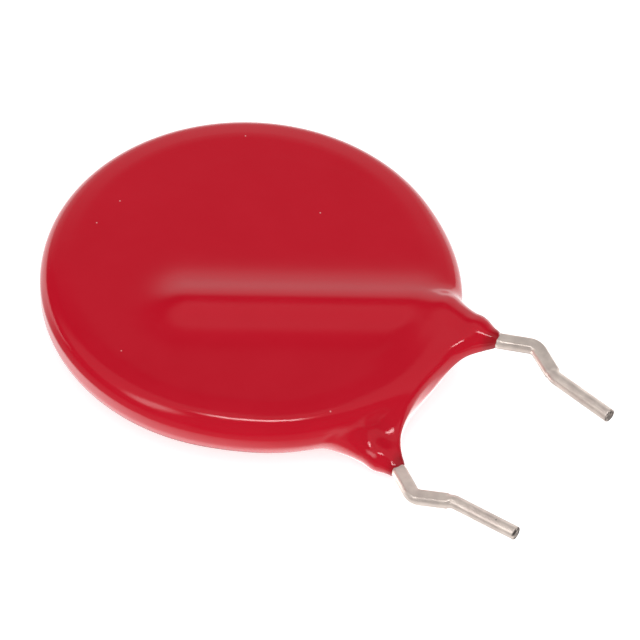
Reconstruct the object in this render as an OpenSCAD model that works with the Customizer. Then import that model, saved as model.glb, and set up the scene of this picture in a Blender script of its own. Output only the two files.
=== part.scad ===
// Radial-leaded metal oxide varistor: a pressed ceramic disc with a metal film on each face,
// one tinned wire soldered across each film, and a dipped coat that runs down both wires.
// The part looks the same after half a turn about the X axis, which runs along the leads.

/* [Ceramic disc] */
// Diameter of the pressed ceramic disc
ceramic_d = 21; // [19:0.5:24]
// Thickness of the pressed ceramic disc
ceramic_t = 2.2; // [1.8:0.1:3.4]
// Chamfer round both edges of the ceramic disc
ceramic_chamfer = 0.2; // [0.1:0.05:0.4]
// Bare ring of ceramic left round each metal film
film_margin = 1.2; // [0.8:0.1:2]
// Thickness of the metal film on each face
film_t = 0.05; // [0.03:0.01:0.1]

/* [Solder] */
// Thickness of the solder under the wire
solder_gap = 0.05; // [0.03:0.01:0.1]
// Radius of the hollow solder fillet on each side of the wire
solder_fillet_r = 0.5; // [0.4:0.05:0.6]
// Bare film left between the solder and the film's edge
solder_margin = 0.6; // [0.3:0.1:2]

/* [Leads] */
// Diameter of the tinned wire
wire_d = 0.8; // [0.7:0.05:0.85]
// Distance between the two wires where they leave the rim
lead_pitch = 8.7; // [7.5:0.1:9.5]
// Angle of each wire across its face, measured from the direction of the leads
cross_angle = 38; // [32:1:42]
// Length of wire that crosses the face, from its cut end to the bend near the rim
cross_l = 14.3; // [13:0.1:16]
// Distance from the rim in to the bend where the wire turns along the leads
cross_bend_inset = 1.6; // [1.4:0.1:2.2]
// Centre-line radius of the bend near the rim
cross_bend_r = 1.6; // [1.2:0.1:2]
// Distance from the rim out to the first bend of the kink
kink_start = 2.25; // [2.2:0.05:2.6]
// Length of the kink's outward slope, measured along the leads
kink_out_l = 2.27; // [1.8:0.05:3]
// Distance that the kink swings outward
kink_out = 1.36; // [0.8:0.02:1.6]
// Length of the kink's inward slope, measured along the leads
kink_in_l = 2.12; // [1.8:0.05:3]
// Distance that the kink swings back inward
kink_in = 1.02; // [0.6:0.02:1.4]
// Distance that each lead drops towards the mid-plane along its kink
kink_drop = 0.4; // [0.1:0.05:0.6]
// Centre-line radius of the kink's bends
kink_bend_r = 0.75; // [0.6:0.05:1]
// Width of the wire where the crimping dies have pressed it
crimp_w = 0.92; // [0.88:0.01:1]
// Thickness of the wire between the crimping dies
crimp_t = 0.68; // [0.5:0.02:0.68]
// Plain wire left between a kink's outer bend and the pressed stretch
crimp_inset = 0.15; // [0.1:0.05:0.3]
// Length of the trimmed straight tail after the kink
tail_l = 4.15; // [3:0.05:8]
// Angle by which each tail leans towards the other
tail_lean = 5; // [0.5:0.5:8]

/* [Coat] */
// Coat over each metal film
face_coat = 0.35; // [0.3:0.05:0.6]
// Coat round the ceramic disc's edge
rim_coat = 1.5; // [1.2:0.1:2]
// Rounding where the coat's faces meet its rim
rim_r = 0.9; // [0.7:0.05:1.2]
// How far the coat's faces fall before they meet that rounding
crown = 0.12; // [0.05:0.01:0.15]
// Width of the band round the rim where the faces fall
crown_l = 1.6; // [1.2:0.1:2]
// Distance that the wet coat has run towards the leads
run_l = 1.4; // [0.8:0.1:1.6]
// How much smaller the round of the run coat is than the body
run_inset = 0.7; // [0.6:0.05:1]
// Height of the ridge that the coat forms over a wire
ridge_h = 0.7; // [0.6:0.02:0.8]
// Distance from the ridge's crest to the steepest part of its sides
ridge_s = 1.1; // [0.8:0.05:1.4]
// Distance from the wire's bend in to where the ridge starts to fall
ridge_inset = 1.3; // [0.8:0.1:1.6]
// Distance from the rim in to where a tab starts
tab_inset = 0.9; // [0.5:0.05:1]
// Coat that clings to a wire where its tab starts
root_coat = 0.55; // [0.5:0.01:0.6]
// How far the tab's middle sits outward of the wire where it starts
root_out = 0.2; // [0.1:0.02:0.24]
// How far the tab's middle sits under the wire where it starts
root_drop = 0.3; // [0.2:0.02:0.32]
// Coat that clings to a wire inside its tab
tab_coat = 0.46; // [0.4:0.02:0.5]
// Coat left round the wire at the tab's tip
tip_coat = 0.14; // [0.12:0.01:0.2]
// How far the tab's round end sits outward of the wire
tip_out = 0.18; // [0.1:0.01:0.2]
// Distance from the rim to where a tab starts to narrow
tab_l = 1.2; // [1:0.05:1.5]
// Distance from the rim to the round end of a tab
tip_l = 2.2; // [2:0.05:2.3]
// Least width of the web that hangs between the tabs, past the rim
web_w = 0.62; // [0.5:0.02:1]
// Thickness of the web at its middle
web_t = 1.3; // [1:0.05:1.4]
// Radius of the web's hollow edge, seen from above
web_r = 5.2; // [5:0.1:8]
// Size of the hollow blend between the rim, the tabs and the web
neck_blend = 1.4; // [1:0.1:1.8]
// Size of the blend between each tab and the web's edge
web_blend = 0.4; // [0.2:0.05:0.5]

/* [Surface] */
// Rows of the coat's surface across the flat of each face
flat_rows = 43; // [35:4:51]
// Steps along each of those rows
row_steps = 12; // [10:1:14]
// Columns round each tab for every row's end
tab_splits = 3; // [2:1:3]
// Steps of the coat's surface from each shoulder to the rim's middle
rim_steps = 9; // [7:1:10]
// Flats round a bent wire
wire_sides = 16; // [12:4:20]
// Steps along each bend of a wire
bend_steps = 4; // [3:1:6]

/* [Hidden] */
$fn = 64;

body_r = ceramic_d / 2 + rim_coat;
body_t = ceramic_t + 2 * (film_t + face_coat);
film_r = ceramic_d / 2 - film_margin;
film_z = ceramic_t / 2 + film_t;
wire_r = wire_d / 2;
wire_y = lead_pitch / 2;
wire_z = film_z + solder_gap + wire_r;

// Corners of the top lead's centre line, from its cut end on the face to its trimmed end
cross_way = [cos(cross_angle), sin(cross_angle), 0];
cross_bend = [body_r - cross_bend_inset, wire_y, wire_z];
cross_end = cross_bend - cross_l * cross_way;
kink_1 = [body_r + kink_start, wire_y, wire_z];
kink_slope = kink_drop / (kink_out_l + kink_in_l);
kink_2 = kink_1 + [kink_out_l, kink_out, -kink_slope * kink_out_l];
kink_3 = kink_2 + [kink_in_l, -kink_in, -kink_slope * kink_in_l];
tail_way = [cos(tail_lean), -sin(tail_lean), 0];
tail_end = kink_3 + tail_l * tail_way;
tail_start = kink_3 + bend_cut(kink_2, kink_3, tail_end, kink_bend_r) * tail_way;

// Solder fillet: its neck lies just inside the wire, and its toe meets the film at an angle
solder_neck = wire_r * 0.9;
solder_toe = solder_fillet_r * 0.04;
solder_h = solder_gap + wire_r;

// Points that shape the coat round the top wire, and the web between the tabs
ridge_end = cross_bend - ridge_inset * cross_way;
wire_rim = [body_r, wire_y, wire_z];
tab_start = wire_rim + [-tab_inset, root_out, -root_drop];
tab_end = wire_rim + [tab_l, root_out / 2, -root_drop / 3];
tab_tip = wire_rim + [tip_l, tip_out, 0];
web_x = body_r + web_w + web_r;
web_twist = wire_z / wire_y;
web_root_x = body_r - 1.2;
run_blend = 0.3;
tab_span = asin((wire_y + wire_r + tab_coat) / body_r) + 7;
hub_inset = rim_r + 0.05;
tab_hub_inset = 1;
flat_r = body_r - hub_inset - 0.6;
flat_step = 180 / (flat_rows + 1);
flat_first = round((cross_angle - 90) / flat_step);

// Length of the step that a die leaves, and of the bent wire's plug inside the straight tail
die_step = 0.04;
plug_l = 0.1;
plug_share = 0.99;

// The ridge's and tab's crest, from which the part's lowest point follows by symmetry
crest_z = max(concat([for (t = [0:0.1:1]) surface_z(cross_bend - t * cross_l * cross_way)],
                     [for (t = [0:0.05:1]) surface_z(cross_bend + t * (tab_end - cross_bend))]));
lead_reach = tail_end.x + wire_r * sin(tail_lean);
origin = [(lead_reach - body_r) / 2, 0, -crest_z];

function limit(v, low, high) = max(low, min(high, v));
function unit(v) = v / norm(v);
function turned(p) = [p.x, -p.y, -p.z];

// Each gap function gives a point's distance from a surface, negative inside it
function round_gap(p, x, r) =
    let (side = norm([p.x - x, p.y]) - r + rim_r,
         dip = crown * pow(limit((side - rim_r) / crown_l + 1, 0, 1), 2),
         rise = abs(p.z) + dip - body_t / 2 + rim_r)
    min(max(side, rise), 0) + norm([max(side, 0), max(rise, 0)]) - rim_r;
function rod_gap(p, from, to, r_from, r_to) =
    let (along = to - from,
         t = limit((p - from) * along / (along * along), 0, 1))
    norm(p - from - t * along) - r_from - t * (r_to - r_from);

// Smooth union and smooth overlap of two gaps, with a blend of size k
function joined(a, b, k) = min(a, b) - pow(max(k - abs(a - b), 0), 2) / (4 * k);
function overlap(a, b, k) = max(a, b) + pow(max(k - abs(a - b), 0), 2) / (4 * k);

function disc_gap(p) =
    joined(round_gap(p, 0, body_r), round_gap(p, run_l, body_r - run_inset), run_blend);
function tab_gap(p) =
    joined(rod_gap(p, tab_start, tab_end, wire_r + root_coat, wire_r + tab_coat),
           rod_gap(p, tab_end, tab_tip, wire_r + tab_coat, wire_r + tip_coat), run_blend);
function web_gap(p) =
    let (middle = web_twist * limit(p.y, -wire_y, wire_y),
         slab = abs(p.z - middle) / sqrt(1 + web_twist * web_twist) - web_t / 2,
         edge = web_r - norm([p.x - web_x, p.y]),
         ends = max(abs(p.y) - wire_y, web_root_x - p.x))
    overlap(overlap(slab, edge, web_t / 2), ends, web_t / 2);

// How far the ridge over the upper wire lifts the coat, fading down the rim
function level(p) = [p.x, p.y, 0];
function ridge_rise(p) =
    let (away = rod_gap(level(p), level(cross_end), level(ridge_end), 0, 0),
         share = limit(p.z / rim_r, 0, 1))
    ridge_h * exp(-pow(away / ridge_s, 2) / 2) * share * share * (3 - 2 * share);

function coat_gap(p) =
    let (q = turned(p),
         body = disc_gap(p) - ridge_rise(p) - ridge_rise(q),
         skirt = joined(joined(web_gap(p), tab_gap(p), web_blend), tab_gap(q), web_blend))
    joined(body, skirt, neck_blend);

// Point of the coat's surface that a ray from inside it meets, found by halving the reach
function skin_reach(p, way, near, far, tries) =
    let (mid = (near + far) / 2)
    tries == 0 ? mid
    : coat_gap(p + mid * way) < 0 ? skin_reach(p, way, mid, far, tries - 1)
    : skin_reach(p, way, near, mid, tries - 1);
function skin_point(p, way) = p + skin_reach(p, way, 0, 4, 13) * way;
function surface_z(p) = skin_point([p.x, p.y, 0], [0, 0, 1]).z;

// Reach of the coat's outline from the disc's axis, before the blends
function outline(angle) =
    let (a = abs(angle),
         side = web_x * sin(a),
         web = web_x * cos(a) - sqrt(max(web_r * web_r - side * side, 0)),
         tab = (wire_y + wire_r + tab_coat) / max(sin(a), 0.01),
         tip = norm([tab_tip.x, wire_y]))
    a > 90 ? body_r : max(body_r, min(tip, a < atan2(wire_y, tab_tip.x) ? web : tab));

// Directions of the points round a face's flat, counted from one end of the rows across it
function flat_angle(i) = flat_step * (flat_first + i);
function wrapped(a) = a > 180 ? a - 360 : a;
function rim_splits(i) = abs(wrapped(flat_angle(i + 0.5))) < tab_span ? tab_splits : 1;

// Points of the upper flat along its k-th row, which runs nearly along the wire under it
function flat_row(k) =
    let (side = flat_step * k - 90,
         way = flat_angle(0) + 90)
    [for (j = [1:row_steps - 1])
        let (along = cos(side) * (2 * j / row_steps - 1))
        skin_point(flat_r * [along * cos(way) - sin(side) * sin(way),
                             along * sin(way) + sin(side) * cos(way), 0], [0, 0, 1])];

// Points of the upper half from the shoulder to the rim's middle, along one direction.
// The rays tilt outward as their start moves from the body's rim into the tab or web.
function rim_column(angle) =
    let (ray = [cos(angle), sin(angle), 0],
         edge = outline(angle),
         start_r = body_r - hub_inset,
         end_r = edge - tab_hub_inset,
         end_z = wire_z * limit(end_r * sin(angle) / wire_y, -1, 1) * limit((edge - body_r) / tip_l, 0, 1))
    [for (i = [0:rim_steps])
        let (t = i / rim_steps,
             out = min(1.4 * t, 1),
             rise = min(1.3 * out, 1),
             up = 90 * (1 - t))
        skin_point((start_r + (end_r - start_r) * out) * ray + [0, 0, end_z * rise],
                   cos(up) * ray + [0, 0, sin(up)])];

// Two triangles for four neighbouring points, split along the line that lies closer to the coat
function patch(points, a, b, c, d) =
    abs(coat_gap((points[a] + points[c]) / 2)) < abs(coat_gap((points[b] + points[d]) / 2))
    ? [[a, b, c], [a, c, d]]
    : [[a, b, d], [b, c, d]];

// Length that a bend takes off each of the two straights that meet at its corner
function bend_cut(before, corner, after, r) =
    r * tan(acos(unit(corner - before) * unit(after - corner)) / 2);

// A station of a wire is its centre, its direction, and its width and thickness there
function bend_stations(before, corner, after, r, size) =
    let (way = unit(corner - before),
         next = unit(after - corner),
         inward = unit(next - (next * way) * way),
         centre = corner - bend_cut(before, corner, after, r) * way + r * inward,
         turn = acos(way * next))
    [for (i = [0:bend_steps])
        let (a = turn * i / bend_steps)
        [centre + r * (sin(a) * way - cos(a) * inward), cos(a) * way + sin(a) * inward, size]];

// The crimping dies leave a short step at each end of the stretch that they press
function lead_stations() =
    let (round = [wire_d, wire_d],
         pressed = [crimp_w, crimp_t],
         out_way = unit(kink_2 - kink_1),
         in_way = unit(kink_3 - kink_2),
         out_cut = bend_cut(cross_bend, kink_1, kink_2, kink_bend_r) + crimp_inset,
         in_cut = bend_cut(kink_2, kink_3, tail_end, kink_bend_r) + crimp_inset,
         plug = wire_d * plug_share * [1, 1])
    concat([[cross_end, cross_way, round]],
           bend_stations(cross_end, cross_bend, kink_1, cross_bend_r, round),
           bend_stations(cross_bend, kink_1, kink_2, kink_bend_r, round),
           [[kink_1 + out_cut * out_way, out_way, round],
            [kink_1 + (out_cut + die_step) * out_way, out_way, pressed]],
           bend_stations(kink_1, kink_2, kink_3, kink_bend_r, pressed),
           [[kink_3 - (in_cut + die_step) * in_way, in_way, pressed],
            [kink_3 - in_cut * in_way, in_way, plug]],
           bend_stations(kink_2, kink_3, tail_end, kink_bend_r, plug),
           [[tail_start + plug_l * tail_way, tail_way, plug]]);

// Outline of a wire at a station: a circle of its width, cut flat to its thickness
function wire_ring(station) =
    let (way = station[1],
         side = unit(cross([0, 0, 1], way)),
         rise = cross(way, side),
         half = station[2] / 2)
    [for (i = [0:wire_sides - 1])
        let (a = 360 * (i + 0.5) / wire_sides)
        station[0] + half[0] * cos(a) * side + limit(half[0] * sin(a), -half[1], half[1]) * rise];

// The lead from its cut end on the face to a short plug inside the straight tail
module bent_wire() {
    rings = [for (station = lead_stations()) wire_ring(station)];
    n = wire_sides;
    last = len(rings) - 1;
    polyhedron(points = [for (ring = rings) each ring],
               faces = concat([[for (i = [0:n - 1]) i], [for (i = [n - 1:-1:0]) last * n + i]],
                              [for (k = [0:last - 1]) for (i = [0:n - 1])
                                  let (a = k * n + i, b = k * n + (i + 1) % n)
                                  each [[a, a + n, b], [b, a + n, b + n]]]));
}

module straight_tail() {
    translate(tail_start) rotate([0, 90, -tail_lean]) cylinder(d = wire_d, h = norm(tail_end - tail_start));
}

module lead_shape() {
    bent_wire();
    straight_tail();
}

module ceramic_shape() {
    r = ceramic_d / 2;
    h = ceramic_t / 2;
    c = ceramic_chamfer;
    rotate_extrude()
        polygon([[0, -h], [r - c, -h], [r, -h + c], [r, h - c], [r - c, h], [0, h]]);
}

module film_shape() {
    translate([0, 0, ceramic_t / 2]) cylinder(r = film_r, h = film_t);
}

// Half of the solder's section beside the wire: a hollow fillet that rises to the wire's side
module solder_half_section() {
    foot = solder_neck + solder_fillet_r;
    difference() {
        square([foot, solder_h]);
        translate([foot, solder_fillet_r - solder_toe]) circle(r = solder_fillet_r);
    }
}

// The solder before the wire takes its place in it
module solder_bed() {
    intersection() {
        translate([cross_end.x, cross_end.y, film_z]) rotate([0, 0, cross_angle]) {
            rotate([90, 0, 90]) linear_extrude(cross_l) {
                solder_half_section();
                mirror([1, 0]) solder_half_section();
            }
            rotate([0, 0, 90]) rotate_extrude(angle = 180) solder_half_section();
        }
        translate([0, 0, film_z]) cylinder(r = film_r - solder_margin, h = solder_h);
    }
}

module solder_shape() {
    difference() {
        solder_bed();
        bent_wire();
    }
}

// The coat's outer surface: the upper half, and the same half turned about X for the lower
module coat_skin() {
    flat_n = 2 * flat_rows + 2;
    row_n = row_steps - 1;
    angles = [for (i = [0:flat_n - 1]) for (s = [0:rim_splits(i) - 1])
                 wrapped(flat_angle(i + s / rim_splits(i)))];
    starts = [for (i = 0, at = 0; i <= flat_n; at = at + rim_splits(i), i = i + 1) at];
    n = len(angles);
    m = rim_steps + 1;
    columns = [for (a = angles) rim_column(a)];

    // Points of the upper side, the same turned for the lower side, then the rim's middle
    upper = concat([for (i = [0:flat_n - 1])
                       skin_point(flat_r * [cos(flat_angle(i)), sin(flat_angle(i)), 0], [0, 0, 1])],
                   [for (k = [1:flat_rows]) each flat_row(k)],
                   [for (column = columns) for (j = [0:m - 2]) column[j]]);
    u = len(upper);
    points = concat(upper, [for (p = upper) turned(p)], [for (column = columns) column[m - 1]]);

    // Numbers of the points in each row across the flat, and in each column outside it
    rows = [for (k = [0:flat_rows + 1])
               k == 0 || k == flat_rows + 1 ? [k]
               : concat([flat_n - k], [for (j = [0:row_n - 1]) flat_n + (k - 1) * row_n + j], [k])];
    rims = [for (i = [0:n])
               [for (j = [0:m - 1]) j == m - 1 ? 2 * u + i % n
                                    : flat_n + flat_rows * row_n + (i % n) * (m - 1) + j]];
    first = rows[1];
    last = rows[flat_rows];
    flat_faces = concat([for (j = [0:row_n]) [0, first[j], first[j + 1]]],
                        [for (k = [1:flat_rows - 1]) for (j = [0:row_n])
                            each patch(points, rows[k][j], rows[k + 1][j],
                                       rows[k + 1][j + 1], rows[k][j + 1])],
                        [for (j = [0:row_n]) [last[j], flat_rows + 1, last[j + 1]]]);
    seam_faces = [for (i = [0:flat_n - 1])
                     let (next = (i + 1) % flat_n, s = rim_splits(i), half = ceil(s / 2))
                     each concat([[i, next, rims[starts[i] + half][0]]],
                                 [for (j = [0:s - 1])
                                     [j < half ? i : next, rims[starts[i] + j + 1][0], rims[starts[i] + j][0]]])];
    rim_faces = [for (i = [0:n - 1]) for (j = [0:m - 2])
                    each patch(points, rims[i][j], rims[i + 1][j], rims[i + 1][j + 1], rims[i][j + 1])];
    upper_faces = concat(flat_faces, seam_faces, rim_faces);
    ahead = starts[-flat_first];
    function under(p) = p < u ? p + u : 2 * u + (2 * ahead - (p - 2 * u) + n) % n;
    polyhedron(points = points,
               faces = concat(upper_faces, [for (f = upper_faces) [for (p = f) under(p)]]));
}

module both_sides() {
    children();
    rotate([180, 0, 0]) children();
}

module placed() {
    translate(-origin) children();
}

module coating() {
    color("firebrick") placed() difference() {
        coat_skin();
        ceramic_shape();
        both_sides() {
            film_shape();
            solder_bed();
            bent_wire();
        }
    }
}

module ceramic_disc() {
    color("dimgray") placed() ceramic_shape();
}

module electrode_top() {
    color("gainsboro") placed() film_shape();
}

module electrode_bottom() {
    color("gainsboro") placed() rotate([180, 0, 0]) film_shape();
}

module lead_top() {
    color("tan") placed() lead_shape();
}

module lead_bottom() {
    color("tan") placed() rotate([180, 0, 0]) lead_shape();
}

module solder_top() {
    color("silver") placed() solder_shape();
}

module solder_bottom() {
    color("silver") placed() rotate([180, 0, 0]) solder_shape();
}

coating();
ceramic_disc();
electrode_top();
electrode_bottom();
lead_top();
lead_bottom();
solder_top();
solder_bottom();
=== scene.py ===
"""Looks of a radial-leaded metal oxide varistor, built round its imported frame.

Shapes are worked out in millimetres from the middle of the ceramic disc, with X along the leads
and Z through the disc's faces. The lower half of the part is the upper half turned about X.
"""

import logging
import math
from dataclasses import dataclass
from enum import Enum

import bpy
import numpy as np
from mathutils import Matrix, Vector


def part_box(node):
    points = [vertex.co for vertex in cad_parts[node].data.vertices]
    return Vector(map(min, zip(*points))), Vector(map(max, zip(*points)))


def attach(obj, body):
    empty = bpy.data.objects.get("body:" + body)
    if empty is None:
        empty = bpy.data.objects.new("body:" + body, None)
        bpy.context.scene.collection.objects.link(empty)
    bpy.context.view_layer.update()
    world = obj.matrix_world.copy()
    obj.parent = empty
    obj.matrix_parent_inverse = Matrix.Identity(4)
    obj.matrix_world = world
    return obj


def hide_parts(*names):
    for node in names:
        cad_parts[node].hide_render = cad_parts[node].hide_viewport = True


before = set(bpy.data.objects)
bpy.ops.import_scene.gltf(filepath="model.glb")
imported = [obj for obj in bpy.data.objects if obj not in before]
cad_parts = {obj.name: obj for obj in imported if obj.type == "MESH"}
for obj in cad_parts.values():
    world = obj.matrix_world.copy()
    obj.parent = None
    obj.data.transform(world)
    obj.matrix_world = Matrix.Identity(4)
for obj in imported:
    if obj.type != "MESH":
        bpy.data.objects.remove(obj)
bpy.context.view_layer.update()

LOG = logging.getLogger("varistor")
MM = 0.001
TURN = np.array([1.0, -1.0, -1.0])
UP = np.array([0.0, 0.0, 1.0])
MIX_COLOURS = (6, 7)
MIX_RESULT = 2
SPECK_CORE = 0.3
SPECK_STEP = 0.01
Colour = tuple[float, float, float]
Ends = tuple[float, float]


def disc_centre() -> np.ndarray:
    """Middle of the ceramic disc in the row frame, in millimetres."""
    low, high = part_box("ceramic_disc")
    return np.array((low + high) / 2) / MM


class Side(Enum):
    """The two faces of the disc, with the factor that turns an upper point to that face."""

    TOP = "top"
    BOTTOM = "bottom"

    def turned(self, points: np.ndarray) -> np.ndarray:
        """Points of the upper half, taken to this side of the part."""
        return points if self is Side.TOP else points * TURN


class Value:
    """A shader socket that Python expressions can use, each operator adding a Math node."""

    def __init__(self, paint: "Paint", socket: bpy.types.NodeSocket) -> None:
        """Keeps the socket and the material that it belongs to."""
        self.paint = paint
        self.socket = socket

    def maths(self, operation: str, *values: object) -> "Value":
        """Adds a Math node.

        Args:
            operation: The Math node's operation.
            values: Its inputs, as numbers or Values.

        Returns:
            The node's result.
        """
        sockets = dict(enumerate(values))
        return self.paint.node("ShaderNodeMath", {"operation": operation}, sockets)

    def __add__(self, other: object) -> "Value":
        """Sum of this and other."""
        return self.maths("ADD", self, other)

    def __radd__(self, other: object) -> "Value":
        """Sum of other and this."""
        return self.maths("ADD", other, self)

    def __sub__(self, other: object) -> "Value":
        """This less other."""
        return self.maths("SUBTRACT", self, other)

    def __rsub__(self, other: object) -> "Value":
        """Other less this."""
        return self.maths("SUBTRACT", other, self)

    def __mul__(self, other: object) -> "Value":
        """Product of this and other."""
        return self.maths("MULTIPLY", self, other)

    def __rmul__(self, other: object) -> "Value":
        """Product of other and this."""
        return self.maths("MULTIPLY", other, self)

    def __pow__(self, other: object) -> "Value":
        """This to the power other."""
        return self.maths("POWER", self, other)

    def __rpow__(self, other: object) -> "Value":
        """Other to the power this."""
        return self.maths("POWER", other, self)

    def __abs__(self) -> "Value":
        """Size of this without its sign."""
        return self.maths("ABSOLUTE", self)

    def ramp(self, low: float, high: float) -> "Value":
        """Smooth step from 0 at low to 1 at high, or the other way round if low is above high.

        Args:
            low: Where the result is 0.
            high: Where the result is 1.

        Returns:
            The stepped value.
        """
        falling = low > high
        ends = (high, low) if falling else (low, high)
        result = (1.0, 0.0) if falling else (0.0, 1.0)
        settings = {"interpolation_type": "SMOOTHSTEP"}
        sockets = {0: self, 1: ends[0], 2: ends[1], 3: result[0], 4: result[1]}
        return self.paint.node("ShaderNodeMapRange", settings, sockets)


class Paint:
    """A node material or world under construction."""

    def __init__(self, owner: bpy.types.Material | bpy.types.World) -> None:
        """Empties the node tree of the material or world to paint.

        Args:
            owner: The material or world.
        """
        owner.use_nodes = True
        self.tree = owner.node_tree
        self.tree.nodes.clear()

    def node(
        self,
        kind: str,
        settings: dict[str, object] | None = None,
        sockets: dict[str | int, object] | None = None,
        out: str | int = 0,
    ) -> Value:
        """Adds a node.

        Args:
            kind: The node's type.
            settings: Its properties, set first.
            sockets: Its inputs by name or number, each a number, a colour or a Value.
            out: Its output to return, by name or number.

        Returns:
            The chosen output.
        """
        made = self.tree.nodes.new(kind)
        for name, setting in (settings or {}).items():
            setattr(made, name, setting)
        for key, given in (sockets or {}).items():
            if isinstance(given, Value):
                self.tree.links.new(given.socket, made.inputs[key])
            else:
                made.inputs[key].default_value = given
        return Value(self, made.outputs[out] if made.outputs else None)

    def place(self) -> Value:
        """Position in the row frame, in metres: every mesh's object sits at the origin."""
        return self.node("ShaderNodeTexCoord", out="Object")

    def axes(self, vector: Value) -> tuple[Value, Value, Value]:
        """The three numbers of a vector.

        Args:
            vector: The vector to take apart.

        Returns:
            Its X, Y and Z.
        """
        split = self.node("ShaderNodeSeparateXYZ", sockets={0: vector}).socket.node
        return tuple(Value(self, split.outputs[i]) for i in range(3))

    def stretched(self, vector: Value, factors: tuple[float, float, float]) -> Value:
        """The vector with each axis multiplied by its own factor."""
        return self.node("ShaderNodeVectorMath", {"operation": "MULTIPLY"}, {0: vector, 1: factors})

    def noise(self, vector: Value, size: float, detail: float = 2.0, rough: float = 0.5) -> Value:
        """Soft random field between 0 and 1.

        Args:
            vector: Where it is read, in metres.
            size: Typical size of its blotches, in millimetres.
            detail: How many finer layers are added.
            rough: How strong the finer layers are.

        Returns:
            The field.
        """
        sockets = {"Vector": vector, "Scale": 1 / (size * MM), "Detail": detail, "Roughness": rough}
        return self.node("ShaderNodeTexNoise", sockets=sockets)

    def specks(self, vector: Value, spacing: float, radius: float, share: float) -> Value:
        """Round spots in some cells of a random lattice, seen along Z.

        Args:
            vector: Where it is read, in metres.
            spacing: Size of the lattice's cells, in millimetres.
            radius: Radius of a spot, in millimetres.
            share: Share of the cells that hold a spot.

        Returns:
            1 at a spot's middle, falling to 0 at its edge.
        """
        sockets = {"Vector": vector, "Scale": 1 / (spacing * MM)}
        near = self.node("ShaderNodeTexVoronoi", {"voronoi_dimensions": "2D"}, sockets)
        hue = Value(self, near.socket.node.outputs["Color"])
        chosen = self.axes(hue)[0].ramp(share + SPECK_STEP, share)
        return near.ramp(radius / spacing, radius / spacing * SPECK_CORE) * chosen

    def blend(self, share: object, first: object, second: object) -> Value:
        """Colour between two colours.

        Args:
            share: 0 for the first colour and 1 for the second.
            first: A colour or Value.
            second: A colour or Value.

        Returns:
            The mixed colour.
        """
        ends = (v if isinstance(v, Value) else (*v, 1.0) for v in (first, second))
        sockets = {0: share, **dict(zip(MIX_COLOURS, ends))}
        return self.node("ShaderNodeMix", {"data_type": "RGBA"}, sockets, out=MIX_RESULT)

    def relief(self, height: Value, depth: float) -> Value:
        """Surface normal bent by a height.

        Args:
            height: The height, where 1 stands for depth.
            depth: That height's size, in millimetres.

        Returns:
            The normal.
        """
        sockets = {"Strength": 1.0, "Distance": depth * MM, "Height": height}
        return self.node("ShaderNodeBump", sockets=sockets, out="Normal")

    def surface(self, sockets: dict[str, object]) -> None:
        """Ends a material with the main surface shader.

        Args:
            sockets: The shader's inputs by name.
        """
        shader = self.node("ShaderNodeBsdfPrincipled", sockets=sockets)
        self.node("ShaderNodeOutputMaterial", sockets={"Surface": shader})


@dataclass(frozen=True)
class DippedResin:
    """Glossy resin coat: deep where it is thick, dark where it thins out on the wires.

    Sizes are in millimetres. The film starts and ends that far from the disc's middle along X, and
    dust shows only on the faces, at that height over the middle.
    """

    name: str = "dipped_resin"
    slot: str = "coat"
    deep: Colour = (0.475, 0.003, 0.0145)
    pale: Colour = (0.505, 0.0045, 0.018)
    film: Colour = (0.3, 0.006, 0.012)
    film_ends: Ends = (13.9, 14.6)
    film_waver: float = 0.3
    waver_size: float = 0.5
    dust: Colour = (0.75, 0.35, 0.35)
    dust_spacing: float = 2.4
    dust_radius: float = 0.06
    dust_share: float = 0.08
    dust_height: Ends = (1.3, 1.45)
    mottle_size: float = 2.6
    ripple_size: float = 1.1
    ripple_share: float = 0.8
    relief: float = 0.004
    roughness: float = 0.14
    unevenness: float = 0.04
    ior: float = 1.5

    def paint(self, paint: Paint) -> None:
        """Paints the resin's colour, gloss, dust specks and faint unevenness.

        Args:
            paint: The material to fill.
        """
        place = paint.place()
        x, _, z = paint.axes(place)
        mottle = paint.noise(place, self.mottle_size, detail=3.0)
        centre_x, _, centre_z = disc_centre()
        start, end = ((centre_x + v) * MM for v in self.film_ends)
        waver = (paint.noise(place, self.waver_size) - 0.5) * self.film_waver * MM
        thin = (x + waver).ramp(start, end)
        low, high = (v * MM for v in self.dust_height)
        face = abs(z - float(centre_z) * MM).ramp(low, high)
        dust = paint.specks(place, self.dust_spacing, self.dust_radius, self.dust_share) * face
        body = paint.blend(mottle, self.deep, self.pale)
        colour = paint.blend(thin, body, self.film)
        colour = paint.blend(dust, colour, self.dust)
        height = paint.noise(place, self.ripple_size, detail=1.0) * self.ripple_share + dust
        paint.surface(
            {
                "Base Color": colour,
                "Roughness": self.roughness + (mottle - 0.5) * self.unevenness,
                "IOR": self.ior,
                "Normal": paint.relief(height, self.relief),
            }
        )


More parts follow.
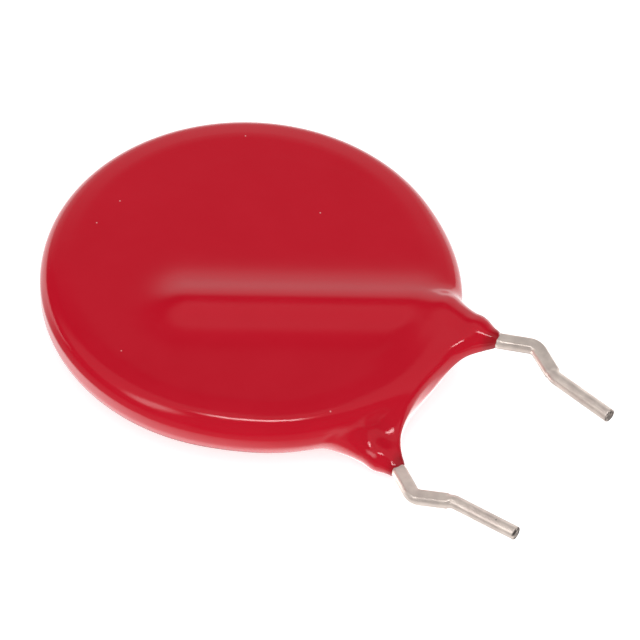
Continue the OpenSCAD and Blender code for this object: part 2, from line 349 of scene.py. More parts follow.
@dataclass(frozen=True)
class TinnedWire:
    """Dull tinned wire, drawn along its length, with small dark nicks from the dies.

    Sizes are in millimetres. The trimmed end's face lies at cut_x from the disc's middle, and it
    is darkened over its last stretch where the shears tore it.
    """

    name: str = "drawn_tin"
    slot: str = "tinned_wire"
    bright: Colour = (0.90, 0.78, 0.70)
    dull: Colour = (0.72, 0.61, 0.55)
    nick: Colour = (0.12, 0.10, 0.09)
    cloud_size: float = 0.9
    cloud_ends: Ends = (0.3, 0.7)
    draw_size: float = 0.07
    draw_squeeze: tuple[float, float, float] = (0.12, 1.0, 1.0)
    draw_relief: float = 0.6
    nick_spacing: float = 0.8
    nick_radius: float = 0.06
    nick_share: float = 0.1
    cut_x: float = 22.76
    cut_ends: Ends = (-0.01, 0.03)
    tear_size: float = 0.2
    tear_waver: float = 0.06
    tear_ends: Ends = (0.62, 0.42)
    metallic: float = 0.55
    roughness: float = 0.34
    unevenness: float = 0.2
    relief: float = 0.012

    def paint(self, paint: Paint) -> None:
        """Paints the tin's cloudy tone, drawn streaks, nicks and sheared ends.

        Args:
            paint: The material to fill.
        """
        place = paint.place()
        cloud = paint.noise(place, self.cloud_size, detail=3.0)
        drawn = paint.noise(paint.stretched(place, self.draw_squeeze), self.draw_size)
        nicks = paint.specks(place, self.nick_spacing, self.nick_radius, self.nick_share)
        start, end = ((disc_centre()[0] + self.cut_x + v) * MM for v in self.cut_ends)
        torn = paint.noise(place, self.tear_size)
        sheared = (paint.axes(place)[0] + torn * self.tear_waver * MM).ramp(start, end)
        tone = paint.blend(cloud.ramp(*self.cloud_ends), self.dull, self.bright)
        colour = paint.blend(nicks, tone, self.nick)
        colour = paint.blend(sheared * torn.ramp(*self.tear_ends), colour, self.nick)
        paint.surface(
            {
                "Base Color": colour,
                "Metallic": self.metallic,
                "Roughness": self.roughness + (drawn - 0.5) * self.unevenness,
                "Normal": paint.relief(drawn * self.draw_relief + cloud - nicks, self.relief),
            }
        )


@dataclass(frozen=True)
class FiredOxide:
    """Dark, matte, fine-grained ceramic of the disc, with sizes in millimetres."""

    name: str = "fired_oxide"
    slot: str = "ceramic"
    dark: Colour = (0.035, 0.036, 0.038)
    light: Colour = (0.075, 0.077, 0.08)
    grain: float = 0.12
    coarseness: float = 0.7
    roughness: float = 0.7
    unevenness: float = 0.2
    relief: float = 0.02

    def paint(self, paint: Paint) -> None:
        """Paints the pressed grain.

        Args:
            paint: The material to fill.
        """
        grain = paint.noise(paint.place(), self.grain, detail=4.0, rough=self.coarseness)
        paint.surface(
            {
                "Base Color": paint.blend(grain, self.dark, self.light),
                "Roughness": self.roughness + grain * self.unevenness,
                "Normal": paint.relief(grain, self.relief),
            }
        )


@dataclass(frozen=True)
class BareMetal:
    """Matte metal with a fine grain in millimetres, for the fired films and the solder."""

    name: str
    slot: str
    tone: Colour
    shade: Colour
    grain: float
    roughness: float
    coarseness: float = 0.6
    tarnish: float = 12.0
    unevenness: float = 0.2
    relief: float = 0.006

    def paint(self, paint: Paint) -> None:
        """Paints the metal's grain, and tarnish in blotches many times its size.

        Args:
            paint: The material to fill.
        """
        place = paint.place()
        grain = paint.noise(place, self.grain, detail=3.0, rough=self.coarseness)
        tarnish = paint.noise(place, self.grain * self.tarnish)
        paint.surface(
            {
                "Base Color": paint.blend(tarnish, self.shade, self.tone),
                "Metallic": 1.0,
                "Roughness": self.roughness + (grain - 0.5) * self.unevenness,
                "Normal": paint.relief(grain, self.relief),
            }
        )


SILVER_FILM = BareMetal("silver_film", "film", (0.82, 0.81, 0.78), (0.68, 0.66, 0.62), 0.08, 0.45)
SOLDER = BareMetal("set_solder", "solder", (0.72, 0.71, 0.69), (0.55, 0.54, 0.52), 0.2, 0.3)
Finish = DippedResin | TinnedWire | FiredOxide | BareMetal


def material(finish: Finish) -> bpy.types.Material:
    """The finish's material, painted the first time that it is asked for.

    Args:
        finish: The finish.

    Returns:
        Its material.
    """
    made = bpy.data.materials.get(finish.name)
    if made is None:
        made = bpy.data.materials.new(finish.name)
        finish.paint(Paint(made))
    return made


def mesh_piece(
    name: str, points: np.ndarray, faces: list[tuple[int, ...]], finish: Finish, node: str
) -> bpy.types.Object:
    """Makes a smooth piece that stands for a CAD node and rides on the part.

    Args:
        name: The piece's name.
        points: Its points in millimetres from the disc's middle.
        faces: Its faces, as tuples of point numbers.
        finish: Its finish.
        node: The CAD node that it stands for.

    Returns:
        The piece.
    """
    mesh = bpy.data.meshes.new(name)
    mesh.from_pydata(((points + disc_centre()) * MM).tolist(), [], faces)
    mesh.validate()
    mesh.shade_smooth()
    piece = bpy.data.objects.new(name, mesh)
    bpy.context.scene.collection.objects.link(piece)
    mesh.materials.append(material(finish))
    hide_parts(node)
    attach(piece, "root")
    return piece


def joined(a: np.ndarray, b: np.ndarray, size: float) -> np.ndarray:
    """Smooth union of two distances, with a hollow blend of this size."""
    return np.minimum(a, b) - np.maximum(size - abs(a - b), 0) ** 2 / (4 * size)


def overlap(a: np.ndarray, b: np.ndarray, size: float) -> np.ndarray:
    """Smooth overlap of two distances, with a round blend of this size."""
    return -joined(-a, -b, size)


def rod(
    p: np.ndarray, start: np.ndarray, end: np.ndarray, r_start: float, r_end: float
) -> np.ndarray:
    """Distance from a round-ended tapering rod.

    Args:
        p: Points to measure from.
        start: Middle of the rod's first end.
        end: Middle of its other end.
        r_start: Radius at the first end.
        r_end: Radius at the other end.

    Returns:
        The distances, negative inside.
    """
    along = end - start
    t = np.clip((p - start) @ along / (along @ along), 0, 1)
    away = np.linalg.norm(p - start - t[..., None] * along, axis=-1)
    return away - r_start - t * (r_end - r_start)


@dataclass
class DippedCoat:
    """The resin coat, in millimetres, with the CAD source's sizes but for crown and tab coat.

    Its skin is found along rays that start inside it. Their start lies hub_inset inside the body's
    rim and tab_hub_inset inside the rim of the tabs and the web.
    """

    body_r: float = 12.0
    body_t: float = 3.0
    rim_r: float = 0.9
    crown: float = 0.3
    crown_l: float = 2.0
    run_l: float = 1.4
    run_inset: float = 0.7
    run_blend: float = 0.3
    wire_r: float = 0.4
    wire_y: float = 4.35
    wire_z: float = 1.6
    cross_angle: float = 38.0
    cross_l: float = 14.3
    bend_inset: float = 1.6
    ridge_h: float = 0.7
    ridge_s: float = 1.1
    ridge_inset: float = 1.3
    tab_inset: float = 0.9
    root_coat: float = 0.55
    root_out: float = 0.2
    root_drop: float = 0.3
    tab_coat: float = 0.44
    tip_coat: float = 0.14
    tip_out: float = 0.18
    tab_l: float = 1.2
    tip_l: float = 2.2
    web_w: float = 0.62
    web_t: float = 1.3
    web_r: float = 5.2
    web_root_x: float = 10.8
    neck_blend: float = 1.4
    web_blend: float = 0.4
    flat_rows: int = 119
    row_steps: int = 64
    tab_splits: int = 3
    tab_span: float = 33.0
    rim_steps: int = 26
    hub_margin: float = 0.05
    tab_hub_inset: float = 1.0
    flat_inset: float = 0.6
    out_pace: float = 1.4
    rise_pace: float = 1.3
    least_share: float = 0.02
    least_sine: float = 0.01
    longest_ray: float = 4.0
    halvings: int = 24

    def __post_init__(self) -> None:
        """Works out the points that shape the coat round the upper wire."""
        turn = math.radians(self.cross_angle)
        self.cross_way = np.array([math.cos(turn), math.sin(turn), 0.0])
        self.bend = np.array([self.body_r - self.bend_inset, self.wire_y, self.wire_z])
        self.cut_end = self.bend - self.cross_l * self.cross_way
        self.ridge_end = self.bend - self.ridge_inset * self.cross_way
        rim = np.array([self.body_r, self.wire_y, self.wire_z])
        self.tab_start = rim + [-self.tab_inset, self.root_out, -self.root_drop]
        self.tab_end = rim + [self.tab_l, self.root_out / 2, -self.root_drop / 3]
        self.tab_tip = rim + [self.tip_l, self.tip_out, 0.0]
        self.hub_inset = self.rim_r + self.hub_margin
        self.flat_r = self.body_r - self.hub_inset - self.flat_inset
        self.flat_step = 180 / (self.flat_rows + 1)
        self.flat_first = round((self.cross_angle - 90) / self.flat_step)

    def round_gap(self, p: np.ndarray, x: float, r: float) -> np.ndarray:
        """Distance from a round with rounded edges and faces that fall off towards them.

        Args:
            p: Points to measure from.
            x: X of the round's middle.
            r: Its radius.

        Returns:
            The distances, negative inside.
        """
        side = np.hypot(p[..., 0] - x, p[..., 1]) - r + self.rim_r
        dip = self.crown * np.clip((side - self.rim_r) / self.crown_l + 1, 0, 1) ** 2
        rise = abs(p[..., 2]) + dip - self.body_t / 2 + self.rim_r
        outside = np.hypot(np.maximum(side, 0), np.maximum(rise, 0))
        return np.minimum(np.maximum(side, rise), 0) + outside - self.rim_r

    def disc_gap(self, p: np.ndarray) -> np.ndarray:
        """Distance from the coated disc and the coat that has run towards the leads.

        The blend between the two fades out over the rim, and the flats stand as high as it lifts
        them, so that its edge doesn't show there.

        Args:
            p: Points to measure from.

        Returns:
            The distances, negative inside.
        """
        disc = self.round_gap(p, 0.0, self.body_r)
        run = self.round_gap(p, self.run_l, self.body_r - self.run_inset)
        depth = self.body_t / 2 - abs(p[..., 2])
        share = np.clip(depth / self.rim_r, self.least_share, 1)
        return joined(disc, run, self.run_blend * share) - self.run_blend / 4 * (1 - share)

    def ridge_rise(self, p: np.ndarray) -> np.ndarray:
        """How far the ridge over the upper wire lifts the coat.

        Args:
            p: Points to look at.

        Returns:
            The lift at each point, 0 on the lower side.
        """
        flat = np.array([1.0, 1.0, 0.0])
        away = rod(p * flat, self.cut_end * flat, self.ridge_end * flat, 0.0, 0.0)
        side = np.clip(p[..., 2] / self.rim_r, 0, 1)
        swell = np.exp(-(away**2) / (2 * self.ridge_s**2))
        return self.ridge_h * swell * side * side * (3 - 2 * side)

    def tab_gap(self, p: np.ndarray) -> np.ndarray:
        """Distance from the tab round the upper wire.

        Args:
            p: Points to measure from.

        Returns:
            The distances, negative inside.
        """
        r = self.wire_r + self.tab_coat
        body = rod(p, self.tab_start, self.tab_end, self.wire_r + self.root_coat, r)
        tip = rod(p, self.tab_end, self.tab_tip, r, self.wire_r + self.tip_coat)
        return joined(body, tip, self.run_blend)

    def web_gap(self, p: np.ndarray) -> np.ndarray:
        """Distance from the twisted web between the tabs.

        Args:
            p: Points to measure from.

        Returns:
            The distances, negative inside.
        """
        twist = self.wire_z / self.wire_y
        middle = twist * np.clip(p[..., 1], -self.wire_y, self.wire_y)
        slab = abs(p[..., 2] - middle) / math.hypot(1, twist) - self.web_t / 2
        edge = self.web_r - np.hypot(p[..., 0] - self.body_r - self.web_w - self.web_r, p[..., 1])
        ends = np.maximum(abs(p[..., 1]) - self.wire_y, self.web_root_x - p[..., 0])
        return overlap(overlap(slab, edge, self.web_t / 2), ends, self.web_t / 2)

    def gap(self, p: np.ndarray) -> np.ndarray:
        """Distance from the whole coat's surface.

        Args:
            p: Points to measure from.

        Returns:
            The distances, negative inside.
        """
        q = p * TURN
        body = self.disc_gap(p) - self.ridge_rise(p) - self.ridge_rise(q)
        skirt = joined(self.web_gap(p), self.tab_gap(p), self.web_blend)
        skirt = joined(skirt, self.tab_gap(q), self.web_blend)
        return joined(body, skirt, self.neck_blend)

    def skin(self, starts: np.ndarray, ways: np.ndarray) -> np.ndarray:
        """Points where rays from inside the coat meet its surface.

        Args:
            starts: Where the rays start, inside the coat.
            ways: Their directions.

        Returns:
            The points, found by halving the reach again and again.
        """
        near = np.zeros(starts.shape[:-1])
        far = np.full(starts.shape[:-1], self.longest_ray)
        for _ in range(self.halvings):
            middle = (near + far) / 2
            inside = self.gap(starts + middle[..., None] * ways) < 0
            near = np.where(inside, middle, near)
            far = np.where(inside, far, middle)
        return starts + near[..., None] * ways

    def outline(self, angle: np.ndarray) -> np.ndarray:
        """Reach of the outline from the disc's axis, before the blends.

        Args:
            angle: Directions in radians, between minus and plus half a turn.

        Returns:
            The reach along each direction.
        """
        a = abs(angle)
        web_x = self.body_r + self.web_w + self.web_r
        depth = np.sqrt(np.maximum(self.web_r**2 - (web_x * np.sin(a)) ** 2, 0))
        web = web_x * np.cos(a) - depth
        tab = (self.wire_y + self.wire_r + self.tab_coat) / np.maximum(np.sin(a), self.least_sine)
        side = np.where(a < math.atan2(self.wire_y, self.tab_tip[0]), web, tab)
        tip = math.hypot(self.tab_tip[0], self.wire_y)
        return np.where(a > math.pi / 2, self.body_r, np.clip(side, self.body_r, tip))

    def rim_columns(self, angles: np.ndarray) -> np.ndarray:
        """Points of the upper half from the shoulder to the rim's middle.

        Args:
            angles: Direction of each column in radians.

        Returns:
            An array of columns by steps by coordinates. The rays tilt outward as their start
            moves from the body's rim into the tab or web.
        """
        ray = np.stack([np.cos(angles), np.sin(angles), 0 * angles], -1)[:, None, :]
        edge = self.outline(angles)
        start_r = self.body_r - self.hub_inset
        end_r = edge - self.tab_hub_inset
        lean = np.clip(end_r * np.sin(angles) / self.wire_y, -1, 1)
        end_z = self.wire_z * lean * np.clip((edge - self.body_r) / self.tip_l, 0, 1)
        t = np.arange(self.rim_steps + 1) / self.rim_steps
        out = np.minimum(self.out_pace * t, 1)
        reach = start_r + (end_r - start_r)[:, None] * out
        rise = end_z[:, None] * np.minimum(self.rise_pace * out, 1)
        tilt = (math.pi / 2 * (1 - t))[None, :, None]
        starts = reach[..., None] * ray + rise[..., None] * UP
        return self.skin(starts, np.cos(tilt) * ray + np.sin(tilt) * UP)

    def flat_points(self) -> tuple[np.ndarray, np.ndarray]:
        """Points of the upper flat.

        Returns:
            The points round it, then those of the rows across it, which run along the ridge.
        """
        n = 2 * self.flat_rows + 2
        turn = np.radians(self.flat_step * (self.flat_first + np.arange(n)))
        rim = self.flat_r * np.stack([np.cos(turn), np.sin(turn), 0 * turn], -1)
        k = np.arange(1, self.flat_rows + 1)[:, None]
        side = np.radians(self.flat_step * k - 90)
        along = np.cos(side) * (2 * np.arange(1, self.row_steps) / self.row_steps - 1)
        across = np.sin(side) + 0 * along
        way = turn[0] + math.pi / 2
        x = along * math.cos(way) - across * math.sin(way)
        y = along * math.sin(way) + across * math.cos(way)
        rows = self.flat_r * np.stack([x, y, 0 * x], -1).reshape(-1, 3)
        return self.skin(rim, UP + 0 * rim), self.skin(rows, UP + 0 * rows)

    def build(self) -> tuple[np.ndarray, list[tuple[int, ...]]]:
        """Builds the coat's skin.

        Returns:
            Its points and faces. The lower side is the upper side turned about X.
        """
        flat_n = 2 * self.flat_rows + 2
        row_n = self.row_steps - 1
        splits, angles, starts = [], [], []
        for i in range(flat_n):
            turn = self.flat_step * (self.flat_first + i)
            middle = (turn + self.flat_step / 2 + 180) % 360 - 180
            splits.append(self.tab_splits if abs(middle) < self.tab_span else 1)
            starts.append(len(angles))
            angles += [turn + self.flat_step * s / splits[i] for s in range(splits[i])]
        turns = np.radians((np.array(angles) + 180) % 360 - 180)
        n, m = len(angles), self.rim_steps + 1
        columns = self.rim_columns(turns)
        rim, rows = self.flat_points()
        upper = np.concatenate([rim, rows, columns[:, : m - 1].reshape(-1, 3)])
        u = len(upper)
        points = np.concatenate([upper, upper * TURN, columns[:, m - 1]])

        def row(k: int) -> list[int]:
            """Numbers of the points in the k-th row across the flat."""
            inner = flat_n + (k - 1) * row_n
            return [flat_n - k, *range(inner, inner + row_n), k]

        def column(i: int) -> list[int]:
            """Numbers of the points in the i-th column outside the flat."""
            first = flat_n + self.flat_rows * row_n + (i % n) * (m - 1)
            return [*range(first, first + m - 1), 2 * u + i % n]

        faces = []
        first_row, last_row = row(1), row(self.flat_rows)
        for j in range(row_n + 1):
            faces.append((0, first_row[j], first_row[j + 1]))
            faces.append((last_row[j], self.flat_rows + 1, last_row[j + 1]))
        for k in range(1, self.flat_rows):
            a, b = row(k), row(k + 1)
            faces += [(a[j], b[j], b[j + 1], a[j + 1]) for j in range(row_n + 1)]
        for i in range(flat_n):
            after = (i + 1) % flat_n
            half = math.ceil(splits[i] / 2)
            ends = [column(starts[i] + s)[0] for s in range(splits[i] + 1)]
            faces.append((i, after, ends[half]))
            for s in range(splits[i]):
                faces.append((i if s < half else after, ends[s + 1], ends[s]))
        for i in range(n):
            a, b = column(i), column(i + 1)
            faces += [(a[j], b[j], b[j + 1], a[j + 1]) for j in range(m - 1)]
        ahead = starts[-self.flat_first]

        def under(p: int) -> int:
            """Number of the point that p becomes when the part is turned about X."""
            return p + u if p < u else 2 * u + (2 * ahead - (p - 2 * u)) % n

        faces += [tuple(under(p) for p in face) for face in faces]
        return points, [face[::-1] for face in faces]

    def dress(self) -> None:
        """Puts the coat's skin in place of its CAD node."""
        points, faces = self.build()
        piece = mesh_piece("dipped_coat", points, faces, DippedResin(), "coating")
        LOG.info("%s: %d faces", piece.name, len(faces))


@dataclass
class CrimpedLead:
    """One lead: bent across its face, kinked outward, pressed between dies, and trimmed.

    Lengths are in millimetres and angles in degrees. Each cap ring has its share of the wire's
    radius and how far it stands out from the sheared end.
    """

    side: Side
    crimp_w: float = 0.92
    crimp_t: float = 0.68
    crimp_inset: float = 0.15
    die_step: float = 0.05
    cross_bend_r: float = 1.6
    kink_bend_r: float = 0.75
    kink_start: float = 2.25
    kink_out: tuple[float, float] = (2.27, 1.36)
    kink_in: tuple[float, float] = (2.12, 1.02)
    kink_drop: float = 0.4
    tail_l: float = 4.15
    tail_lean: float = 5.0
    spacing: float = 0.12
    sides: int = 40
    cap_rings: tuple[tuple[float, float], ...] = ((0.93, 0.035), (0.7, 0.05), (0.4, 0.045))

    def corners(self, coat: DippedCoat) -> list[np.ndarray]:
        """Corners of the lead's centre line.

        Args:
            coat: The coat, whose sizes place the wire.

        Returns:
            The corners, from the cut end on the face to the trimmed end.
        """
        slope = self.kink_drop / (self.kink_out[0] + self.kink_in[0])
        first = np.array([coat.body_r + self.kink_start, coat.wire_y, coat.wire_z])
        second = first + np.array([*self.kink_out, -slope * self.kink_out[0]])
        third = second + np.array([self.kink_in[0], -self.kink_in[1], -slope * self.kink_in[0]])
        lean = math.radians(self.tail_lean)
        end = third + self.tail_l * np.array([math.cos(lean), -math.sin(lean), 0.0])
        return [coat.cut_end, coat.bend, first, second, third, end]

    def centre_line(self, corners: list[np.ndarray]) -> tuple[np.ndarray, np.ndarray, list[float]]:
        """Walks along the corners with round bends.

        Args:
            corners: The corners of the line.

        Returns:
            Close points on the line, the directions there, and how far along it the pressed
            stretch starts and ends.
        """
        radii = [self.cross_bend_r] + [self.kink_bend_r] * 3
        points, ways, marks = [], [], []
        here, walked = corners[0], 0.0
        for i, corner in enumerate(corners[1:]):
            way = (corner - corners[i]) / np.linalg.norm(corner - corners[i])
            last = i == len(corners) - 2
            cut = 0.0
            if not last:
                after = corners[i + 2] - corner
                after /= np.linalg.norm(after)
                turn = math.acos(np.clip(way @ after, -1, 1))
                cut = radii[i] * math.tan(turn / 2)
            stop = corner - cut * way
            length = np.linalg.norm(stop - here)
            steps = max(2, round(length / self.spacing))
            for t in np.arange(steps + last) / steps:
                points.append(here + t * length * way)
                ways.append(way)
            if i == 2:
                marks.append(walked + self.crimp_inset)
            if i == 3:
                marks.append(walked + length - self.crimp_inset)
            walked += length
            if last:
                break
            inward = after - (after @ way) * way
            inward /= np.linalg.norm(inward)
            centre = stop + radii[i] * inward
            steps = max(4, round(radii[i] * turn / self.spacing * 2))
            for t in np.arange(steps) / steps * turn:
                points.append(centre + radii[i] * (math.sin(t) * way - math.cos(t) * inward))
                ways.append(math.cos(t) * way + math.sin(t) * inward)
            here = corner + cut * after
            walked += radii[i] * turn
        return np.array(points), np.array(ways), marks

    def build(self, coat: DippedCoat) -> tuple[np.ndarray, list[tuple[int, ...]]]:
        """Builds the lead's skin as if it were the upper one.

        Args:
            coat: The coat, whose sizes place the wire.

        Returns:
            Its points and faces.
        """
        centres, ways, marks = self.centre_line(self.corners(coat))
        steps = np.linalg.norm(np.diff(centres, axis=0), axis=1)
        along = np.concatenate([[0], np.cumsum(steps)])
        pressed = np.clip((along - marks[0]) / self.die_step, 0, 1)
        pressed *= np.clip((marks[1] - along) / self.die_step, 0, 1)
        width = coat.wire_r + pressed * (self.crimp_w / 2 - coat.wire_r)
        thick = coat.wire_r + pressed * (self.crimp_t / 2 - coat.wire_r)
        side = np.cross(UP, ways)
        side /= np.linalg.norm(side, axis=1)[:, None]
        rise = np.cross(ways, side)
        turn = 2 * math.pi * (np.arange(self.sides) + 0.5) / self.sides
        across = width[:, None] * np.cos(turn)
        up = np.clip(width[:, None] * np.sin(turn), -thick[:, None], thick[:, None])
        rings = centres[:, None] + across[..., None] * side[:, None] + up[..., None] * rise[:, None]
        return self.closed(rings, ways)

    def closed(
        self, rings: np.ndarray, ways: np.ndarray
    ) -> tuple[np.ndarray, list[tuple[int, ...]]]:
        """Joins rings into a tube with sheared, slightly domed ends.

        Args:
            rings: Rings of points along the wire.
            ways: The wire's direction at each ring.

        Returns:
            The tube's points and faces.
        """
        caps = []
        for ring, way in ((rings[0], -ways[0]), (rings[-1], ways[-1])):
            middle = ring.mean(0)
            caps.append(
                [middle + (ring - middle) * share + way * out for share, out in self.cap_rings]
            )
        rings = np.concatenate([np.array(caps[0][::-1]), rings, np.array(caps[1])])
        count, n = len(rings), self.sides
        faces = [tuple(range(n - 1, -1, -1)), tuple((count - 1) * n + i for i in range(n))]
        for k in range(count - 1):
            for i in range(n):
                a, b = k * n + i, k * n + (i + 1) % n
                faces.append((a, b, b + n, a + n))
        return rings.reshape(-1, 3), faces

    def dress(self, coat: DippedCoat) -> None:
        """Puts the lead's skin in place of its CAD node.

        Args:
            coat: The coat, whose sizes place the wire.
        """
        points, faces = self.build(coat)
        name = f"crimped_lead_{self.side.value}"
        node = f"lead_{self.side.value}"
        piece = mesh_piece(name, self.side.turned(points), faces, TinnedWire(), node)
        LOG.info("%s: %d faces", piece.name, len(faces))


@dataclass
class SealedCore:
    """The pieces that the coat seals in, which keep their CAD shapes."""

    finishes: dict[str, Finish]

    def dress(self) -> None:
        """Paints each piece of the core."""
        for node, finish in self.finishes.items():
            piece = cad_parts[node]
            piece.data.materials.clear()
            piece.data.materials.append(material(finish))
            LOG.info("%s: %s", node, finish.name)


def rays(paint: Paint) -> tuple[Value, Value, Value]:
    """Tells the rays that reach a surface apart.

    Args:
        paint: The material or world that asks.

    Returns:
        1 for the camera's own rays, for those sent on by gloss or glass, and for all others.
    """
    path = paint.node("ShaderNodeLightPath").socket.node
    names = ("Is Camera Ray", "Is Glossy Ray", "Is Transmission Ray")
    seen, shiny, clear = (Value(paint, path.outputs[name]) for name in names)
    return seen, shiny + clear, (1.0 - seen) * (1.0 - shiny) * (1.0 - clear)


def set_back(x: Value, y: Value, azimuth: float) -> Value:
    """How far back a place or a direction lies, as seen from the photograph's side.

    Args:
        x: Its X.
        y: Its Y.
        azimuth: The photograph's side, in degrees.

    Returns:
        The distance, negative in front of the part.
    """
    turn = math.radians(azimuth)
    return y * math.cos(turn) - x * math.sin(turn)


@dataclass(frozen=True)
class PaleFloor:
    """Plain pale floor, in millimetres, white to the camera and keeping the part's shadow.

    Gloss sees it lit only round the part: under the near rim, between the tabs, under the leads
    and at the back. Each pair of places says where such a glow is none and where it is full.
    """

    azimuth: float
    size: float = 3000.0
    tone: tuple[float, float, float, float] = (0.8, 0.8, 0.8, 1.0)
    seen_level: float = 0.65
    bounce_level: float = 0.55
    glow_level: float = 2.6
    rim_inner: Ends = (10.5, 12.9)
    rim_outer: Ends = (14.9, 13.2)
    rim_front: Ends = (6.0, -11.0)
    rim_level: float = 0.88
    spill_outer: Ends = (36.0, 14.0)
    spill_level: float = 0.11
    side_shift: float = 1.8
    web_inner: Ends = (11.2, 13.5)
    web_outer: Ends = (15.5, 13.5)
    web_side: Ends = (5.5, 4.5)
    web_level: float = 0.6
    lead_start: Ends = (14.0, 15.0)
    lead_y: float = 4.35
    lead_side: Ends = (2.5, 1.5)
    lead_level: float = 0.2
    back_start: Ends = (-5.0, 6.0)
    back_level: float = 0.6
    gloss_only: Ends = (0.4, 0.6)

    def lay(self) -> None:
        """Lays the floor."""
        half = self.size / 2 * MM
        mesh = bpy.data.meshes.new("floor")
        corners = [(-half, -half, 0), (half, -half, 0), (half, half, 0), (-half, half, 0)]
        mesh.from_pydata(corners, [], [(0, 1, 2, 3)])
        plane = bpy.data.objects.new("floor", mesh)
        bpy.context.scene.collection.objects.link(plane)
        made = bpy.data.materials.new("pale_floor")
        mesh.materials.append(made)
        self.paint(Paint(made))

    def paint(self, paint: Paint) -> None:
        """Paints the floor.

        Args:
            paint: The material to fill.
        """
        seen, sent_on, others = rays(paint)
        level = seen * self.seen_level + others * self.bounce_level + sent_on * self.glow(paint)
        matte = paint.node("ShaderNodeBsdfDiffuse", sockets={"Color": self.tone})
        glow = paint.node("ShaderNodeEmission", sockets={"Color": level})
        both = paint.node("ShaderNodeAddShader", sockets={0: matte, 1: glow})
        share = sent_on.ramp(*self.gloss_only)
        mixed = paint.node("ShaderNodeMixShader", sockets={0: share, 1: both, 2: glow})
        paint.node("ShaderNodeOutputMaterial", sockets={"Surface": mixed})

    def glow(self, paint: Paint) -> Value:
        """The floor's glow as the part's gloss sees it.

        Args:
            paint: The floor's material.

        Returns:
            The glow's level.
        """

        def step(place: Value, ends: Ends) -> Value:
            """Smooth step between two places in millimetres."""
            return place.ramp(ends[0] * MM, ends[1] * MM)

        x, y, _ = paint.axes(paint.place())
        x = x - float(disc_centre()[0]) * MM
        back = set_back(x, y, self.azimuth)
        away = (x**2.0 + y**2.0) ** 0.5
        rim = step(away, self.rim_outer) * self.rim_level
        rim = rim + step(away, self.spill_outer) * self.spill_level
        rim = rim * step(away, self.rim_inner) * step(back, self.rim_front)
        side = abs(y + self.side_shift * MM)
        web = step(x, self.web_outer) * step(x, self.web_inner) * step(side, self.web_side)
        lead = step(x, self.lead_start) * step(abs(side - self.lead_y * MM), self.lead_side)
        glow = rim + web * self.web_level + lead * self.lead_level
        return (glow + step(back, self.back_start) * self.back_level) * self.glow_level


@dataclass(frozen=True)
class LitPanel:
    """A soft panel over the part that gloss shows, placed by the direction in which it stands.

    Its depth and width each say how far from its middle it is dark and how far it is full.
    """

    back: float
    across: float
    depth: Ends
    width: Ends
    level: float

    def light(self, back: Value, across: Value) -> Value:
        """The panel's light in a direction.

        Args:
            back: How far back the direction points.
            across: How far it points across.

        Returns:
            The light's level.
        """
        row = abs(back - self.back).ramp(*self.depth)
        return row * abs(across - self.across).ramp(*self.width) * self.level


@dataclass(frozen=True)
class Surroundings:
    """Pale to the camera, plain ambient light to the part, and a studio to its gloss.

    Each pair says where in a direction's number a light is none and where it is full.
    """

    azimuth: float
    tone: tuple[float, float, float, float] = (0.8, 0.8, 0.8, 1.0)
    ambient: float = 0.85
    front_level: float = 0.7
    front: Ends = (0.1, -0.7)
    dim: float = 0.05
    back_wall: Ends = (0.58, 0.9)
    back_wall_level: float = 0.95
    overhead: Ends = (0.2, 0.4)
    softbox_back: Ends = (0.42, 0.15)
    softbox_front: Ends = (-0.42, -0.38)
    softbox_level: float = 0.42
    strip: LitPanel = LitPanel(-0.34, 0.02, (0.08, 0.04), (0.26, 0.14), 16.0)
    left: LitPanel = LitPanel(-0.56, -0.62, (0.2, 0.04), (0.28, 0.06), 4.0)

    def build(self) -> None:
        """Makes the world."""
        made = bpy.data.worlds.new("studio")
        bpy.context.scene.world = made
        paint = Paint(made)
        seen, sent_on, others = rays(paint)
        x, y, height = paint.axes(paint.node("ShaderNodeTexCoord", out="Generated"))
        back = set_back(x, y, self.azimuth)
        turn = math.radians(self.azimuth)
        across = x * math.cos(turn) + y * math.sin(turn)
        softbox = back.ramp(*self.softbox_back) * back.ramp(*self.softbox_front)
        lights = softbox * self.softbox_level
        for panel in (self.strip, self.left):
            lights = lights + panel.light(back, across)
        studio = self.dim + back.ramp(*self.back_wall) * self.back_wall_level
        studio = studio + height.ramp(*self.overhead) * lights
        plain = back.ramp(*self.front) * self.front_level + self.ambient
        level = seen + sent_on * (1.0 - seen) * studio + others * plain
        sockets = {"Color": self.tone, "Strength": level}
        glow = paint.node("ShaderNodeBackground", sockets=sockets)
        paint.node("ShaderNodeOutputWorld", sockets={"Surface": glow})


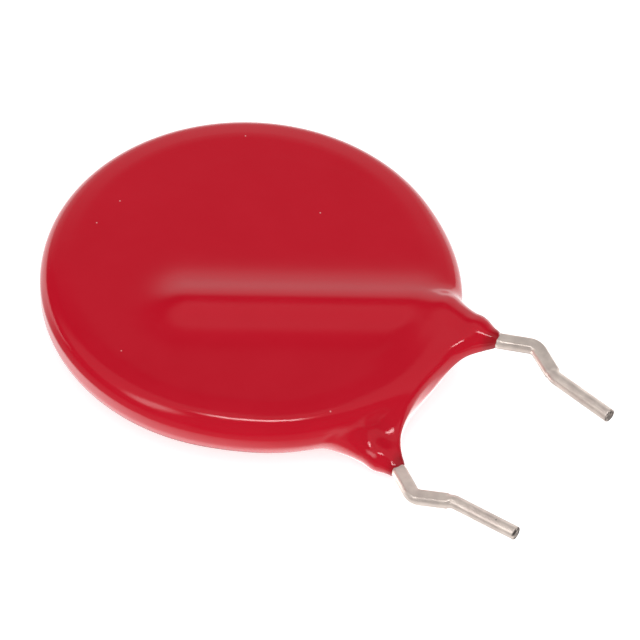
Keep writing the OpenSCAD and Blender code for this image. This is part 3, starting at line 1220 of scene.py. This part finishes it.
@dataclass(frozen=True)
class Studio:
    """Camera, floor, surroundings and lamp. Angles are in degrees and lengths in millimetres."""

    azimuth: float = 36.2
    elevation: float = 48.7
    roll: float = 2.3
    distance: float = 500.0
    aim: tuple[float, float] = (4.265, -1.905)
    pixels_per_mm: float = 17.31
    photo_width: float = 640.0
    sensor: float = 36.0
    clip: Ends = (10.0, 20000.0)
    lamp_spot: tuple[float, float, float] = (-80.0, 120.0, 420.0)
    lamp_size: float = 260.0
    lamp_power: float = 0.4

    def camera(self) -> None:
        """Puts the camera at the photograph's viewing angle."""
        a, e, r = (math.radians(v) for v in (self.azimuth, self.elevation, self.roll))
        back = np.array([math.sin(a) * math.cos(e), -math.cos(a) * math.cos(e), math.sin(e)])
        right = np.array([math.cos(a), math.sin(a), 0.0])
        up = np.cross(back, right)
        rolled_right = math.cos(r) * right + math.sin(r) * up
        rolled_up = math.cos(r) * up - math.sin(r) * right
        spot = disc_centre() + self.aim[0] * right + self.aim[1] * up + self.distance * back
        data = bpy.data.cameras.new("camera")
        data.sensor_width = self.sensor
        data.lens = self.pixels_per_mm * self.distance / self.photo_width * self.sensor
        data.clip_start, data.clip_end = (v * MM for v in self.clip)
        camera = bpy.data.objects.new("camera", data)
        bpy.context.scene.collection.objects.link(camera)
        turn = Matrix((rolled_right, rolled_up, back)).transposed().to_4x4()
        camera.matrix_world = Matrix.Translation(Vector(spot * MM)) @ turn
        bpy.context.scene.camera = camera

    def key_light(self) -> None:
        """Hangs a soft square light that points at the part and that gloss doesn't show."""
        data = bpy.data.lights.new("key_light", "AREA")
        data.size = self.lamp_size * MM
        data.energy = self.lamp_power
        lamp = bpy.data.objects.new("key_light", data)
        bpy.context.scene.collection.objects.link(lamp)
        lamp.location = Vector(self.lamp_spot) * MM
        lamp.rotation_euler = (-lamp.location).to_track_quat("-Z", "Y").to_euler()
        lamp.visible_glossy = False
        lamp.visible_camera = False

    def build(self) -> None:
        """Sets up the camera, the floor, the surroundings and the lamp."""
        self.camera()
        PaleFloor(self.azimuth).lay()
        Surroundings(self.azimuth).build()
        self.key_light()
        bpy.context.scene.view_settings.view_transform = "Standard"


def main() -> None:
    """Builds the studio and every piece of the part."""
    logging.basicConfig(level=logging.INFO, format="%(name)s %(message)s")
    Studio().build()
    coat = DippedCoat()
    coat.dress()
    for side in Side:
        CrimpedLead(side).dress(coat)
    core = {
        "ceramic_disc": FiredOxide(),
        "electrode_top": SILVER_FILM,
        "electrode_bottom": SILVER_FILM,
        "solder_top": SOLDER,
        "solder_bottom": SOLDER,
    }
    SealedCore(core).dress()


if __name__ == "__main__":
    main()
